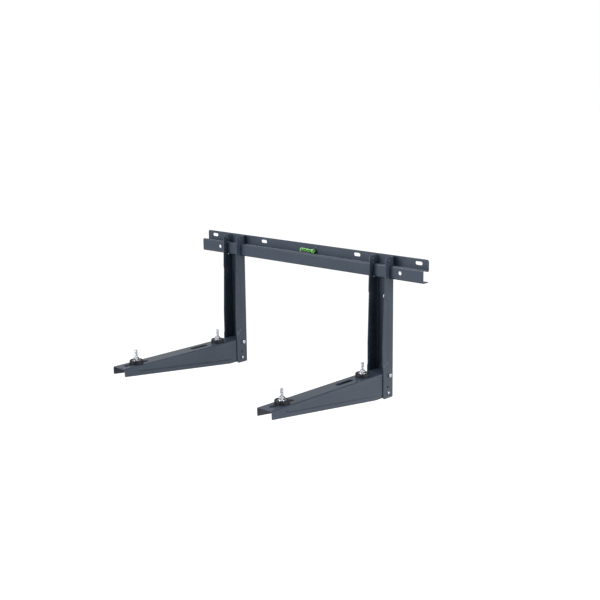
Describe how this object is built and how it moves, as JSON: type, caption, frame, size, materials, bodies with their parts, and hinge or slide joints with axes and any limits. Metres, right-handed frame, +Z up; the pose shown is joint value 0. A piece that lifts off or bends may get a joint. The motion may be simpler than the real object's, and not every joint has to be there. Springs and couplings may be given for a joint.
{
  "type": "air conditioner outdoor unit wall bracket",
  "caption": "Folded steel wall bracket that carries an air conditioner's outdoor unit on two arms with rubber mounts, hung from a slotted wall rail.",
  "frame": {"origin": "centre of the line of wall slots, on the rail's wall face", "axes": "+X along the rail to the viewer's right, +Y into the wall, +Z up; the arms reach out along -Y"},
  "size_m": [0.8, 0.4535, 0.37],
  "materials": {
    "coated_steel": "semi-gloss powder coat",
    "zinc_steel": "bright zinc plate",
    "black_rubber": "satin",
    "level_tube": "clear acrylic",
    "level_liquid": "clear green liquid",
    "level_cap": "gloss",
    "dark_plastic": "matte"
  },
  "bodies": {
    "root": {"arm_left": "coated_steel", "arm_right": "coated_steel", "flange_nut_front_left": "zinc_steel", "flange_nut_front_right": "zinc_steel", "flange_nut_rear_left": "zinc_steel", "flange_nut_rear_right": "zinc_steel", "high_bolt_left_minus_x": "zinc_steel", "high_bolt_left_plus_x": "zinc_steel", "high_bolt_right_minus_x": "zinc_steel", "high_bolt_right_plus_x": "zinc_steel", "high_nut_left_minus_x": "zinc_steel", "high_nut_left_plus_x": "zinc_steel", "high_nut_right_minus_x": "zinc_steel", "high_nut_right_plus_x": "zinc_steel", "level_cap_left": "level_cap", "level_cap_right": "level_cap", "level_cradle": "dark_plastic", "level_liquid": "level_liquid", "level_tube": "level_tube", "low_bolt_left_minus_x": "zinc_steel", "low_bolt_left_plus_x": "zinc_steel", "low_bolt_right_minus_x": "zinc_steel", "low_bolt_right_plus_x": "zinc_steel", "low_nut_left_minus_x": "zinc_steel", "low_nut_left_plus_x": "zinc_steel", "low_nut_right_minus_x": "zinc_steel", "low_nut_right_plus_x": "zinc_steel", "pad_washer_front_left": "zinc_steel", "pad_washer_front_right": "zinc_steel", "pad_washer_rear_left": "zinc_steel", "pad_washer_rear_right": "zinc_steel", "rubber_pad_front_left": "black_rubber", "rubber_pad_front_right": "black_rubber", "rubber_pad_rear_left": "black_rubber", "rubber_pad_rear_right": "black_rubber", "slot_washer_front_left": "zinc_steel", "slot_washer_front_right": "zinc_steel", "slot_washer_rear_left": "zinc_steel", "slot_washer_rear_right": "zinc_steel", "stud_front_left": "zinc_steel", "stud_front_right": "zinc_steel", "stud_rear_left": "zinc_steel", "stud_rear_right": "zinc_steel", "upright_left": "coated_steel", "upright_right": "coated_steel", "wall_foot_left": "black_rubber", "wall_foot_right": "black_rubber", "wall_rail": "coated_steel"}
  },
  "joints": []
}
